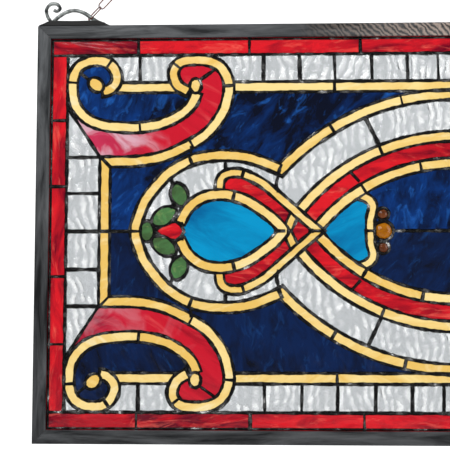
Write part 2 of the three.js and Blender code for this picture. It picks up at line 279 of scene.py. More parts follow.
# The single lines between two glasses, then the joints inside a strip of like glass.
lower_edge = TOP - BORDER_LINE
leads += [
    straight((BORDER_LINE, -1), (BORDER_LINE, lower_edge), (MIDDLE, lower_edge), step=8),
    straight((BORDER_LINE, 138), (70.5, 81.5)),
    straight((BORDER_LINE, 81.5), (71, 81.5)),
    straight((170.5, 93.5), (170.5, 82)),
    straight((208, 67.5), (208, 78)),
    spline([(268, 67), (263.5, 52), (265.5, 42)]),
    straight((150.5, 50), (148, 59.5)),
    straight((148, 25), (151.5, 30)),
    spline([(160.5, 10), (162.6, 0), (162.6, -1)]),
    straight((300, 0), (314, 0)),
    straight((389, 0), (MIDDLE, 0), step=8),
]
joints = [
    straight((69, 0), (116, 0), step=4),
    straight((70.3, 82.5), (82.5, 69.8)),
    joint_across(border_path, (171.5, 95), edge),
    joint_across(border_path, (211.5, 161), edge),
    joint_across(border_path, (155, 183), edge),
    joint_across(scroll_path, (39.7, 164), edge),
    joint_across(scroll_path, (79.5, 186), edge),
    joint_across(scroll_path, (113.7, 114.3), edge),
    joint_across(outline_path, (169.7, 78), edge),
    joint_across(outline_path, (267, 67.5), edge),
    joint_across(outline_path, (323.2, 113), edge),
    joint_across(outline_path, (400.9, 144), edge),
    joint_across(middle_ring, (378.1, 88.7), edge),
    joint_across(inner_ring, (357, 47), edge),
    joint_across(inner_ring, (420.3, 68.7), edge),
    joint_across(oval_band, (216.8, 38.8), edge),
    straight((260.5, 0), (273, 0), step=1),
    straight((360.5, 0), (369, 0), step=1),
    joint_across(strap_path, (227.3, 62.6), strap_edge),
    joint_across(long_straight, (326.8, 158.6), edge),
    straight((MIDDLE, 152.5), (MIDDLE, 165)),
    straight((342.7, 65.5), (353.7, 53.5)),
    straight((360.5, 125), (375.3, 94)),
    straight((48.3, 174.8), (57.6, 167.4)),
    straight((179, 166), (196.2, 178.2)),
    straight((CHANNEL_FLOOR, lower_edge), (BORDER_LINE, lower_edge)),
    straight((CHANNEL_FLOOR, 122.5), (BORDER_LINE, 122.5)),
    straight((CHANNEL_FLOOR, 49.3), (BORDER_LINE, 49.3)),
    straight((BORDER_LINE, 41.6), (71, 41.6)),
    straight((BORDER_LINE, 0), (71, 0)),
    straight((113.7, 163), (113.7, lower_edge)),
]
for across in (112, 234.5, 356.2):
    joints.append(straight((across, TOP - CHANNEL_FLOOR), (across, lower_edge)))
for across in (250.1, 289.4, 327.7, 368.2, 407.3, 440.6):
    joints.append(straight((across + random.uniform(-0.8, 0.8), 163.5), (across, lower_edge)))
under_channel = TOP - CHANNEL_FLOOR
rim = straight((CHANNEL_FLOOR, 0), (CHANNEL_FLOOR, under_channel), (MIDDLE, under_channel), step=20)


def all_quarters(lines):
    """The lines of the quarter in all four quarters, measured from the panel's middle."""
    return [
        [Vector(((point.x - MIDDLE) * across, point.y * up)) for point in line]
        for line in lines
        for across in (1, -1)
        for up in (1, -1)
    ]


def plainer(line, slack=0.04):
    """Fewer points along a line, none of the left-out ones further from it than the slack."""
    if len(line) < 3:
        return line
    chord = line[-1] - line[0]
    if chord.length < 1e-6:
        half = len(line) // 2
        return plainer(line[: half + 1], slack)[:-1] + plainer(line[half:], slack)
    off = [abs(chord.cross(point - line[0])) / chord.length for point in line]
    worst = max(range(len(line)), key=off.__getitem__)
    if off[worst] < slack:
        return [line[0], line[-1]]
    return plainer(line[: worst + 1], slack)[:-1] + plainer(line[worst:], slack)


lead_lines = all_quarters([plainer(line) for line in leads + [rim]])
joint_lines = all_quarters([plainer(line) for line in joints])

# The sheet is scored along all of the lines, and the scored parts sorted into pieces of glass.
corners = []
scores = []
for line in lead_lines + joint_lines:
    scores += [(len(corners) + index, len(corners) + index + 1) for index in range(len(line) - 1)]
    corners += line
score_count = sum(len(line) - 1 for line in lead_lines)
points, edges, parts, _, scored, _ = delaunay_2d_cdt(corners, scores, [], 0, 1e-4)
beside_edge = {}
for number, part in enumerate(parts):
    for start, stop in zip(part, part[1:] + part[:1]):
        beside_edge.setdefault((min(start, stop), max(start, stop)), []).append(number)
field = list(range(len(parts)))
piece = list(range(len(parts)))


def root(table, number):
    """The number that stands for all the parts joined to this one."""
    while table[number] != number:
        table[number] = table[table[number]]
        number = table[number]
    return number


for (start, stop), along in zip(edges, scored):
    neighbours = beside_edge.get((min(start, stop), max(start, stop)), [])
    if len(neighbours) < 2:
        continue
    if not along:
        piece[root(piece, neighbours[0])] = root(piece, neighbours[1])
    if all(score >= score_count for score in along):
        field[root(field, neighbours[0])] = root(field, neighbours[1])

sheet = BVHTree.FromPolygons([(point.x, 0, point.y) for point in points], parts)
seeds = {
    "cream": [
        (76, 40), (76, 4), (100, 76.6), (186, 105.8), (210.5, 147), (187, 188.5), (150.8, 174),
        (120, 158.6), (120, 114.3), (300, 158.6), (430, 158.6), (88, 172), (58, 188.4), (39.4, 152),
        (94, 114.5), (158, 128), (65.4, 161.9), (175.2, 160.4), (120.5, 33.5), (109.8, 4), (188, 81.8),
        (246, 76.3), (300, 96), (360, 131), (440, 149), (395, 93), (340, 72), (320, 52), (440, 73),
        (380, 57), (340, 32), (326, 20), (316, 9), (208, 61.6), (240, 56.5), (271.7, 32.5), (290, 16),
        (278, 9.5), (276, 5), (167.4, 25), (240, 27.5), (197, 39.6), (256.2, 16.1), (366, 20), (365, 4),
        (356, 38), (305, 2.5), (309, 2.2), (213, 158.6), (300, 7.8), (312, 5.5), (267.5, 4), (362.5, 35.5),
    ],
    "red": [(24, 5), (340, 51), (330, 42), (240, 43), (287, 2), (287, 5), (147, 3), (380, 77), (213, 52)],
    "ribbon": [(140, 100), (80, 90), (185, 175), (165, 176), (200, 150)],
    "blue": [
        (110, 135), (62, 174), (50, 160), (90, 20), (90, 60), (150, 76), (260, 120), (190, 92), (440, 20),
        (380, 40),
    ],
    "turquoise": [(210, 5), (180, 10), (250, 5), (340, 5), (355, 20)],
    "green": [(157.5, 39.9), (141, 16.2), (122.6, 3)],
    "amber": [(379.2, 2)],
    "brown": [(378.6, 18.2)],
}
glass_of_field = {}
for glass_name, places in seeds.items():
    for line in all_quarters([[Vector(place)] for place in places]):
        _, _, number, _ = sheet.ray_cast(Vector((line[0].x, -1, line[0].y)), Vector((0, 1, 0)))
        if number is not None:
            glass_of_field[root(field, number)] = glass_name
parts_of_piece = {}
for number in range(len(parts)):
    middle = sum((points[corner] for corner in parts[number]), Vector((0, 0))) / 3
    if abs(middle.x) < MIDDLE - CHANNEL_FLOOR and abs(middle.y) < TOP - CHANNEL_FLOOR:
        parts_of_piece.setdefault(root(piece, number), []).append(number)
pieces_of_glass = {}
for start, numbers in parts_of_piece.items():
    glass_name = glass_of_field.get(root(field, numbers[0]), "clear")
    pieces_of_glass.setdefault(glass_name, []).append(numbers)


def join(whole, part):
    """Adds a finished part to the whole."""
    mesh = bpy.data.meshes.new("part")
    part.to_mesh(mesh)
    part.free()
    whole.from_mesh(mesh)
    bpy.data.meshes.remove(mesh)


def placed(name, shape, material):
    """The object made of a finished shape and its material."""
    mesh = bpy.data.meshes.new(name)
    shape.to_mesh(mesh)
    shape.free()
    mesh.materials.append(material)
    made = bpy.data.objects.new(name, mesh)
    bpy.context.collection.objects.link(made)
    return made


SMALLEST_PIECE_AREA = 4e-6
GRAIN_PER_METRE = 10
SHEET_SPREAD = 40


def cut_glass(name, glass_name, grain, material, nodes=()):
    """Cuts every piece of one glass from its sheet, each with the sheet's grain laid its own way."""
    whole = bmesh.new()
    for numbers in pieces_of_glass[glass_name]:
        cut = bmesh.new()
        uv = cut.loops.layers.uv.new("grain")
        made = {}
        for number in numbers:
            for corner in parts[number]:
                if corner not in made:
                    spot = Vector((points[corner].x, -GLASS / 2, points[corner].y)) * MM
                    made[corner] = cut.verts.new(spot + Vector((0, 0, PANEL_CENTRE)))
            cut.faces.new([made[corner] for corner in parts[number]])
        area = sum(face.calc_area() for face in cut.faces)
        if area < SMALLEST_PIECE_AREA:
            cut.free()
            continue
        thick = bmesh.ops.extrude_face_region(cut, geom=list(cut.faces))
        raised = [item for item in thick["geom"] if isinstance(item, bmesh.types.BMVert)]
        bmesh.ops.translate(cut, vec=(0, GLASS * MM, 0), verts=raised)
        bmesh.ops.recalc_face_normals(cut, faces=list(cut.faces))
        middle = sum((vert.co for vert in cut.verts), Vector()) / len(cut.verts)
        lie = Matrix.Rotation(math.radians(grain(middle)), 2)
        away = Vector((random.uniform(0, SHEET_SPREAD), random.uniform(0, SHEET_SPREAD)))
        for face in cut.faces:
            for loop in face.loops:
                offset = loop.vert.co - middle
                loop[uv].uv = lie @ Vector((offset.x, offset.z)) * GRAIN_PER_METRE + away
        join(whole, cut)
    glass = placed(name, whole, material)
    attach(glass, "root")
    if nodes:
        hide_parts(*nodes)


# Streaky sheet glass: wisps of a second colour rolled in along the grain, and a slow waviness.
# The colour also changes from one end of the sheet to the other, and so from piece to piece.
def ramp(tree, value, *stops):
    """A colour read off by a value, from the colour of each stop to the next."""
    made = tree.nodes.new("ShaderNodeValToRGB")
    elements = made.color_ramp.elements
    for index, (position, colour) in enumerate(stops):
        stop = elements[index] if index < len(elements) else elements.new(position)
        stop.position = position
        stop.color = (*colour, 1)
    tree.links.new(value, made.inputs["Fac"])
    return made


def node(tree, kind, **values):
    """A new node with its inputs set by name."""
    made = tree.nodes.new(kind)
    for key, value in values.items():
        if hasattr(made, key):
            setattr(made, key, value)
        else:
            made.inputs[key.replace("_", " ").title()].default_value = value
    return made


streaks = bpy.data.node_groups.new("streaky sheet", "ShaderNodeTree")
streaks.interface.new_socket("Length", in_out="INPUT", socket_type="NodeSocketFloat").default_value = 1.0
streaks.interface.new_socket("Width", in_out="INPUT", socket_type="NodeSocketFloat").default_value = 5.0
streaks.interface.new_socket("Cloud", in_out="OUTPUT", socket_type="NodeSocketFloat")
streaks.interface.new_socket("Wisp", in_out="OUTPUT", socket_type="NodeSocketFloat")
streaks.interface.new_socket("Height", in_out="OUTPUT", socket_type="NodeSocketFloat")
group_in = streaks.nodes.new("NodeGroupInput")
group_out = streaks.nodes.new("NodeGroupOutput")
uv_map = streaks.nodes.new("ShaderNodeUVMap")
uv_map.uv_map = "grain"
stretch = streaks.nodes.new("ShaderNodeCombineXYZ")
streaks.links.new(group_in.outputs["Length"], stretch.inputs["X"])
streaks.links.new(group_in.outputs["Width"], stretch.inputs["Y"])
laid = node(streaks, "ShaderNodeVectorMath", operation="MULTIPLY")
streaks.links.new(uv_map.outputs["UV"], laid.inputs[0])
streaks.links.new(stretch.outputs[0], laid.inputs[1])
cloud = node(streaks, "ShaderNodeTexNoise", Scale=2.2, Detail=6.0, Roughness=0.62, Distortion=0.8)
wisp = node(streaks, "ShaderNodeTexNoise", Scale=3.0, Detail=6.0, Roughness=0.66, Distortion=1.0)
wave = node(streaks, "ShaderNodeTexNoise", Scale=3.0, Detail=2.0)
for texture, output in ((wisp, "Wisp"), (wave, "Height")):
    streaks.links.new(laid.outputs[0], texture.inputs["Vector"])
    streaks.links.new(texture.outputs["Fac"], group_out.inputs[output])
streaks.links.new(laid.outputs[0], cloud.inputs["Vector"])
part_of_sheet = node(streaks, "ShaderNodeTexNoise", Scale=0.25, Detail=1.0)
streaks.links.new(uv_map.outputs["UV"], part_of_sheet.inputs["Vector"])
both = node(streaks, "ShaderNodeMix", data_type="FLOAT", Factor=0.5)
streaks.links.new(cloud.outputs["Fac"], both.inputs["A"])
streaks.links.new(part_of_sheet.outputs["Fac"], both.inputs["B"])
streaks.links.new(both.outputs["Result"], group_out.inputs["Cloud"])


def sheet_glass(
    name, dark, light, wisp_colour, wisps, transmission, roughness, length=1.0, width=5.0, bump=0.15
):
    """One glass: a cloudy base between two colours, wisps over part of it, and a wavy face."""
    material = bpy.data.materials.new(name)
    material.use_nodes = True
    tree = material.node_tree
    shader = tree.nodes["Principled BSDF"]
    shader.inputs["Roughness"].default_value = roughness
    shader.inputs["IOR"].default_value = 1.3
    shader.inputs["Transmission Weight"].default_value = transmission
    pattern = tree.nodes.new("ShaderNodeGroup")
    pattern.node_tree = streaks
    pattern.inputs["Length"].default_value = length
    pattern.inputs["Width"].default_value = width
    base = ramp(tree, pattern.outputs["Cloud"], (0.42, dark), (0.57, light))
    wisp_start = 0.74 - 0.3 * wisps
    wisp_full = 0.92 - 0.3 * wisps
    reach = ramp(tree, pattern.outputs["Wisp"], (wisp_start, (0, 0, 0)), (wisp_full, (1, 1, 1)))
    blend = node(tree, "ShaderNodeMix", data_type="RGBA")
    blend.inputs[7].default_value = (*wisp_colour, 1)
    tree.links.new(reach.outputs["Color"], blend.inputs["Factor"])
    tree.links.new(base.outputs["Color"], blend.inputs[6])
    tree.links.new(blend.outputs[2], shader.inputs["Base Color"])
    relief = tree.nodes.new("ShaderNodeBump")
    relief.inputs["Strength"].default_value = bump
    relief.inputs["Distance"].default_value = 0.002
    tree.links.new(pattern.outputs["Height"], relief.inputs["Height"])
    tree.links.new(relief.outputs["Normal"], shader.inputs["Normal"])
    return material


# Cream opalescent glass: the narrow bands of the border, scrolls, rosette and rings.
# It hardly lets the light through, and runs from honey to ivory from one strip to the next.
def any_way(middle):
    """How the grain lies, in degrees, where the cutter doesn't mind."""
    return random.uniform(-40, 40)


cream_nodes = [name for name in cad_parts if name.startswith("cream_")]
cream = sheet_glass(
    "cream opalescent", dark=(0.78, 0.5, 0.12), light=(0.88, 0.67, 0.27), wisp_colour=(0.87, 0.73, 0.42),
    wisps=0.6, transmission=0.0, roughness=0.2, length=0.6, width=2.0, bump=0.15,
)
cut_glass("glass_cream", "cream", any_way, cream, cream_nodes)


# Streaky red glass: the outer border strips, the red ring, the pieces beside the straps and the bud.
# The streaks lie along each strip, so the strips of the sides stand on end.
def along_the_strip(middle):
    """How the grain lies, in degrees, in a piece with this middle."""
    if abs(middle.x) > (MIDDLE - BORDER_LINE) * MM:
        return 90 + random.uniform(-8, 8)
    return random.uniform(-12, 12)


red_nodes = [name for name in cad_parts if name.startswith(("red_border", "red_ring", "red_almond"))]
red = sheet_glass(
    "streaky red", dark=(0.15, 0.0, 0.012), light=(0.76, 0.012, 0.022), wisp_colour=(0.9, 0.12, 0.09),
    wisps=0.62, transmission=0.25, roughness=0.1, length=0.8, width=3.0, bump=0.3,
)
cut_glass("glass_red", "red", along_the_strip, red, red_nodes)


# Ribbon glass: red and opal white in one sheet, cut so that the pale end lies outermost.
# Only the outer end is pale, and the ribbon deepens to red as it curls into the volute.
ribbon_nodes = [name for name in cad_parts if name.startswith("red_ribbon")]
ribbon = sheet_glass(
    "ribbon red and white", dark=(0.2, 0.002, 0.012), light=(0.62, 0.01, 0.028),
    wisp_colour=(0.74, 0.06, 0.07), wisps=0.6, transmission=0.2, roughness=0.12, length=0.5, width=2.2,
    bump=0.2,
)
tree = ribbon.node_tree
place = tree.nodes.new("ShaderNodeTexCoord")
split = tree.nodes.new("ShaderNodeSeparateXYZ")
tree.links.new(place.outputs["Object"], split.inputs[0])
outward = node(tree, "ShaderNodeMath", operation="ABSOLUTE")
tree.links.new(split.outputs["X"], outward.inputs[0])
wander = node(tree, "ShaderNodeTexNoise", Scale=22.0, Detail=6.0, Distortion=1.6)
tree.links.new(place.outputs["Object"], wander.inputs["Vector"])
loose = node(tree, "ShaderNodeMath", operation="MULTIPLY_ADD")
loose.inputs[1].default_value = 0.16
tree.links.new(wander.outputs["Fac"], loose.inputs[0])
tree.links.new(outward.outputs[0], loose.inputs[2])
above_middle = node(tree, "ShaderNodeMapRange", From_Min=PANEL_CENTRE - 0.01, From_Max=PANEL_CENTRE + 0.01)
above_middle.inputs["To Min"].default_value = 0.3
tree.links.new(split.outputs["Z"], above_middle.inputs["Value"])
pale = node(tree, "ShaderNodeMapRange", From_Min=0.385, From_Max=0.46)
tree.links.new(loose.outputs[0], pale.inputs["Value"])
tree.links.new(above_middle.outputs["Result"], pale.inputs["To Max"])
milky = ramp(tree, wander.outputs["Fac"], (0.45, (0.6, 0.035, 0.1)), (0.58, (0.74, 0.42, 0.5)))
opal = node(tree, "ShaderNodeMix", data_type="RGBA")
tree.links.new(milky.outputs["Color"], opal.inputs[7])
shader = tree.nodes["Principled BSDF"]
tree.links.new(shader.inputs["Base Color"].links[0].from_socket, opal.inputs[6])
tree.links.new(pale.outputs["Result"], opal.inputs["Factor"])
tree.links.new(opal.outputs[2], shader.inputs["Base Color"])
cut_glass("glass_ribbon", "ribbon", any_way, ribbon, ribbon_nodes)


# Cobalt glass: the grounds inside the scrolls, the side fields, the spandrels and the centre.
# It is dark and wispy, with paler blue drawn through it, and darker still below the middle.
blue_nodes = [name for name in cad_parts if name.startswith("blue_")]
blue = sheet_glass(
    "wispy cobalt", dark=(0.001, 0.003, 0.014), light=(0.002, 0.032, 0.17), wisp_colour=(0.012, 0.1, 0.4),
    wisps=0.62, transmission=0.1, roughness=0.08, length=2.6, width=1.1, bump=0.4,
)
tree = blue.node_tree
place = tree.nodes.new("ShaderNodeTexCoord")
split = tree.nodes.new("ShaderNodeSeparateXYZ")
tree.links.new(place.outputs["Object"], split.inputs[0])
below_middle = node(tree, "ShaderNodeMapRange", From_Min=PANEL_CENTRE + 0.002, From_Max=PANEL_CENTRE - 0.002)
below_middle.inputs["To Max"].default_value = 0.62
tree.links.new(split.outputs["Z"], below_middle.inputs["Value"])
darker = node(tree, "ShaderNodeMix", data_type="RGBA")
darker.inputs[7].default_value = (0.003, 0.004, 0.01, 1)
shader = tree.nodes["Principled BSDF"]
tree.links.new(below_middle.outputs["Result"], darker.inputs["Factor"])
tree.links.new(shader.inputs["Base Color"].links[0].from_socket, darker.inputs[6])
tree.links.new(darker.outputs[2], shader.inputs["Base Color"])
cut_glass("glass_blue", "blue", any_way, blue, blue_nodes)


# Turquoise cathedral glass: one large oval at each side of the crossing and the heart beyond it.
# It is nearly even in colour, with a few long soft streaks, and is cut from one kind of sheet.
turquoise_nodes = [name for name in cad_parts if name.startswith("turquoise_")]
turquoise = sheet_glass(
    "turquoise", dark=(0.0, 0.13, 0.33), light=(0.001, 0.31, 0.6), wisp_colour=(0.005, 0.4, 0.66),
    wisps=0.4, transmission=0.15, roughness=0.1, length=0.35, width=1.3, bump=0.1,
)
cut_glass("glass_turquoise", "turquoise", any_way, turquoise, turquoise_nodes)


# Clear rippled glass: the tiles round the picture, the wide ring and the rosette's ground.
# The ripples are rolled into the sheet in curving ridges, and the light breaks up in them; the light and
# shade of the ridges is also painted into the colour.
def nearly_upright(middle):
    """How the grain lies, in degrees, so that the ridges stand nearly on end."""
    return random.uniform(-20, 20)


clear_nodes = [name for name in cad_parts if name.startswith("clear_")]
clear = bpy.data.materials.new("clear rippled")
clear.use_nodes = True
tree = clear.node_tree
shader = tree.nodes["Principled BSDF"]
shader.inputs["Roughness"].default_value = 0.06
shader.inputs["IOR"].default_value = 1.45
shader.inputs["Transmission Weight"].default_value = 0.85
uv_map = node(tree, "ShaderNodeUVMap", uv_map="grain")
ridges = node(tree, "ShaderNodeTexWave", Scale=3.4, Distortion=9.0, Detail=3.0)
ridges.inputs["Detail Scale"].default_value = 0.9
tree.links.new(uv_map.outputs["UV"], ridges.inputs["Vector"])
patches = node(tree, "ShaderNodeTexNoise", Scale=5.0, Detail=4.0, Distortion=1.0)
tree.links.new(uv_map.outputs["UV"], patches.inputs["Vector"])
fading = node(tree, "ShaderNodeMapRange", From_Min=0.35, From_Max=0.65)
tree.links.new(patches.outputs["Fac"], fading.inputs["Value"])
rippled = node(tree, "ShaderNodeMath", operation="MULTIPLY")
tree.links.new(ridges.outputs["Fac"], rippled.inputs[0])
tree.links.new(fading.outputs["Result"], rippled.inputs[1])
relief = node(tree, "ShaderNodeBump", Strength=0.8, Distance=0.0016)
tree.links.new(rippled.outputs[0], relief.inputs["Height"])
tree.links.new(relief.outputs["Normal"], shader.inputs["Normal"])
# Painted shade and highlight: the colour is darker where the ripples are low and paler on their crests.
painted_ripple_shading = ramp(tree, rippled.outputs[0], (0.1, (0.48, 0.5, 0.51)), (0.8, (0.79, 0.8, 0.8)))
tree.links.new(painted_ripple_shading.outputs["Color"], shader.inputs["Base Color"])
cut_glass("glass_clear", "clear", nearly_upright, clear, clear_nodes)


# Leaves and jewels: olive leaves round the bud, an amber jewel and two brown ones at each heart.
# The leaves are cut from sheet like the rest, and the jewels are set in the same beads.
leaf_glass = sheet_glass(
    "leaf green", dark=(0.05, 0.1, 0.035), light=(0.08, 0.23, 0.075), wisp_colour=(0.24, 0.33, 0.11),
    wisps=0.6, transmission=0.1, roughness=0.12, length=2.0, width=3.0,
)
cut_glass("glass_leaves", "green", any_way, leaf_glass)
amber_nodes = [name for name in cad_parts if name.startswith("amber_")]
amber_glass = sheet_glass(
    "amber", dark=(0.34, 0.1, 0.002), light=(0.52, 0.18, 0.004), wisp_colour=(0.7, 0.34, 0.02),
    wisps=0.4, transmission=0.3, roughness=0.06,
)
cut_glass("glass_amber", "amber", any_way, amber_glass, amber_nodes)
brown_glass = sheet_glass(
    "brown", dark=(0.07, 0.015, 0.006), light=(0.2, 0.055, 0.015), wisp_colour=(0.3, 0.12, 0.05),
    wisps=0.4, transmission=0.3, roughness=0.06,
)
cut_glass("glass_brown", "brown", any_way, brown_glass)
DOME_FLATNESS = 0.3
for name, across, up, radius, material in (
    ("amber_dome", 379.2, 0, 8.6, amber_glass),
    ("brown_dome_upper", 378.6, 18.2, 4.9, brown_glass),
    ("brown_dome_lower", 378.6, -18.2, 4.9, brown_glass),
):
    for side, end in ((1, "left"), (-1, "right")):
        dome = bmesh.new()
        bmesh.ops.create_uvsphere(dome, u_segments=10, v_segments=6, radius=1)
        flattened = Matrix.Diagonal((radius * MM, radius * MM, DOME_FLATNESS * radius * MM, 1))
        facing = Matrix.Rotation(math.pi / 2, 4, "X")
        seat = Vector(((across - MIDDLE) * side, -GLASS / 2, up)) * MM + Vector((0, 0, PANEL_CENTRE))
        bmesh.ops.transform(dome, matrix=Matrix.Translation(seat) @ facing @ flattened, verts=dome.verts)
        uv = dome.loops.layers.uv.new("grain")
        for face in dome.faces:
            for loop in face.loops:
                loop[uv].uv = Vector((loop.vert.co.x, loop.vert.co.z)) * GRAIN_PER_METRE
        jewel = placed(name + "_" + end, dome, material)
        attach(jewel, "root")


# Solder lines: each edge of glass is wrapped in foil, and solder run over the seam in a rounded
# bead on both faces. The beads are blackened with worn grey patches and specks of painted glint,
# rise and fall a little, and pool where lines meet.
BEAD_DEPTH = 5.2
BEAD_HALF = 2.2
RIM_LINE = 16.5
RIM_BEAD_HALF = 1.8
RIM_BEAD_HALF_DEPTH = 2.3
SIDES = 8


def swept(whole, line, half_width, half_depth, unevenness, segments=SIDES):
    """A bar of oval section drawn along a line, with closed ends."""
    bar = bmesh.new()
    hoop = bmesh.ops.create_circle(bar, cap_ends=False, radius=1, segments=segments)["verts"]
    closed = (line[0] - line[-1]).length < 0.01 and len(line) > 4
    here = Matrix.Identity(4)
    drift = 0.0
    across = normals(line)
    for index, point in enumerate(line):
        drift = 0.6 * drift + random.uniform(-unevenness, unevenness)
        side = across[index]
        if closed and index in (0, len(line) - 1):
            side = (across[0] + across[-1]).normalized()
            drift = 0.0
        wide = half_width * (1 + drift)
        deep = half_depth * (1 + drift / 3)
        there = Matrix(
            (
                (side.x * wide * MM, 0, side.y * MM, point.x * MM),
                (0, deep * MM, 0, 0),
                (side.y * wide * MM, 0, -side.x * MM, point.y * MM + PANEL_CENTRE),
                (0, 0, 0, 1),
            )
        )
        if index:
            ring_edges = [e for e in bar.edges if e.is_boundary or e.is_wire]
            ring_edges = [e for e in ring_edges if e.verts[0] in hoop and e.verts[1] in hoop]
            grown = bmesh.ops.extrude_edge_only(bar, edges=ring_edges)["geom"]
            hoop = [item for item in grown if isinstance(item, bmesh.types.BMVert)]
        bmesh.ops.transform(bar, matrix=there @ here.inverted(), verts=hoop)
        here = there
    if closed:
        bmesh.ops.remove_doubles(bar, verts=bar.verts, dist=1e-6)
    else:
        bmesh.ops.holes_fill(bar, edges=[e for e in bar.edges if e.is_boundary])
    bmesh.ops.recalc_face_normals(bar, faces=list(bar.faces))
    for face in bar.faces:
        face.smooth = True
    join(whole, bar)


beads = bmesh.new()
for line in all_quarters([plainer(line, 0.03) for line in leads]):
    swept(beads, straight(*line, step=3.5), BEAD_HALF, BEAD_DEPTH / 2, 0.2)
for line in joint_lines:
    swept(beads, straight(*line, step=4), random.uniform(1.9, 2.6), BEAD_DEPTH / 2 * 0.96, 0.18)
inner_rim = straight((RIM_LINE, -1), (RIM_LINE, TOP - RIM_LINE), (MIDDLE, TOP - RIM_LINE), step=9)
for line in all_quarters([inner_rim]):
    swept(beads, line, RIM_BEAD_HALF, RIM_BEAD_HALF_DEPTH, 0.08)
patina = bpy.data.materials.new("black patina solder")
patina.use_nodes = True
tree = patina.node_tree
shader = tree.nodes["Principled BSDF"]
shader.inputs["Metallic"].default_value = 0.9
place = tree.nodes.new("ShaderNodeTexCoord")
patina_wear_and_glints = node(tree, "ShaderNodeTexNoise", Scale=90.0, Detail=4.0)
tree.links.new(place.outputs["Object"], patina_wear_and_glints.inputs["Vector"])
# Blackened patina with worn grey patches; the palest stop is painted glint, bright specks standing in for
# light caught on the solder.
blackened, greyed, painted_glint = (0.007, 0.007, 0.007), (0.09, 0.09, 0.088), (0.55, 0.55, 0.54)
tone = ramp(tree, patina_wear_and_glints.outputs["Fac"], (0.5, blackened), (0.66, greyed), (0.74, painted_glint))
tree.links.new(tone.outputs["Color"], shader.inputs["Base Color"])
shader.inputs["Roughness"].default_value = 0.2
lumpy = node(tree, "ShaderNodeTexNoise", Scale=300.0, Detail=3.0)
tree.links.new(place.outputs["Object"], lumpy.inputs["Vector"])
relief = node(tree, "ShaderNodeBump", Strength=1.0, Distance=0.0025)
tree.links.new(lumpy.outputs["Fac"], relief.inputs["Height"])
tree.links.new(relief.outputs["Normal"], shader.inputs["Normal"])
solder = placed("solder_beads", beads, patina)
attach(solder, "root")
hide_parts("solderwork")


# Frame: four lengths of metal channel folded round the glass, mitred and joined at the corners.
# The blackened face is streaked along its length, and strokes of painted highlight lie over the middle of the
# top.
WORKED_EDGE = 0.0004
gunmetal = bpy.data.materials.new("gunmetal channel")
gunmetal.use_nodes = True
tree = gunmetal.node_tree
shader = tree.nodes["Principled BSDF"]
shader.inputs["Metallic"].default_value = 0.85
uv_map = node(tree, "ShaderNodeUVMap", uv_map="along")
drawn_out = node(tree, "ShaderNodeMapping")
drawn_out.inputs["Scale"].default_value = (0.35, 3.0, 1)
tree.links.new(uv_map.outputs["UV"], drawn_out.inputs["Vector"])
blotch = node(tree, "ShaderNodeTexNoise", Scale=3.0, Detail=7.0, Roughness=0.62, Distortion=0.5)
tree.links.new(drawn_out.outputs["Vector"], blotch.inputs["Vector"])
tone = ramp(tree, blotch.outputs["Fac"], (0.36, (0.014, 0.015, 0.016)), (0.7, (0.12, 0.125, 0.13)))
place = tree.nodes.new("ShaderNodeTexCoord")
split = tree.nodes.new("ShaderNodeSeparateXYZ")
tree.links.new(place.outputs["Object"], split.inputs[0])
outward = node(tree, "ShaderNodeMath", operation="ABSOLUTE")
tree.links.new(split.outputs["X"], outward.inputs[0])
# Painted highlight: pale strokes over the middle of the top member's face, standing in for light caught
# there.
near_middle = node(tree, "ShaderNodeMapRange", From_Min=0.17, From_Max=0.0)
tree.links.new(outward.outputs[0], near_middle.inputs["Value"])
on_top = node(tree, "ShaderNodeMapRange", From_Min=PANEL_CENTRE + 0.21, From_Max=PANEL_CENTRE + 0.214)
tree.links.new(split.outputs["Z"], on_top.inputs["Value"])
strokes = node(tree, "ShaderNodeTexWave", Scale=9.0, Distortion=9.0, Detail=5.0, bands_direction="DIAGONAL")
tree.links.new(uv_map.outputs["UV"], strokes.inputs["Vector"])
highlight_area = node(tree, "ShaderNodeMath", operation="MULTIPLY")
tree.links.new(near_middle.outputs["Result"], highlight_area.inputs[0])
tree.links.new(on_top.outputs["Result"], highlight_area.inputs[1])
highlight_strokes = node(tree, "ShaderNodeMath", operation="MULTIPLY")
tree.links.new(highlight_area.outputs[0], highlight_strokes.inputs[0])
tree.links.new(strokes.outputs["Fac"], highlight_strokes.inputs[1])
painted_highlight = node(tree, "ShaderNodeMix", data_type="RGBA")
painted_highlight.inputs[7].default_value = (0.5, 0.4, 0.34, 1)
tree.links.new(highlight_strokes.outputs[0], painted_highlight.inputs["Factor"])
tree.links.new(tone.outputs["Color"], painted_highlight.inputs[6])
tree.links.new(painted_highlight.outputs[2], shader.inputs["Base Color"])
rough = node(tree, "ShaderNodeMapRange")
rough.inputs["To Min"].default_value = 0.3
rough.inputs["To Max"].default_value = 0.6
tree.links.new(blotch.outputs["Fac"], rough.inputs["Value"])
tree.links.new(rough.outputs["Result"], shader.inputs["Roughness"])
for name in ("frame_left", "frame_right", "frame_top", "frame_bottom"):
    channel = bmesh.new()
    channel.from_mesh(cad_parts[name].data)
    bmesh.ops.remove_doubles(channel, verts=channel.verts, dist=1e-5)
    bmesh.ops.dissolve_limit(channel, angle_limit=0.02, verts=channel.verts, edges=channel.edges)
    mitres = [face for face in channel.faces if abs(face.normal.x) > 0.5 and abs(face.normal.z) > 0.5]
    sharp = [e for e in channel.edges if e.calc_face_angle() > 0.6 and not set(e.link_faces) & set(mitres)]
    bmesh.ops.bevel(
        channel, geom=sharp, offset=WORKED_EDGE, offset_type="OFFSET", segments=2, profile=0.5,
        affect="EDGES", material=-1,
    )
    uv = channel.loops.layers.uv.new("along")
    upright = name in ("frame_left", "frame_right")
    for face in channel.faces:
        for loop in face.loops:
            spot = loop.vert.co * GRAIN_PER_METRE
            across = spot.x if upright else spot.z
            loop[uv].uv = (spot.z if upright else spot.x, across + spot.y)
    bar = placed(name + "_channel", channel, gunmetal)
    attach(bar, "root")
    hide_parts(name)


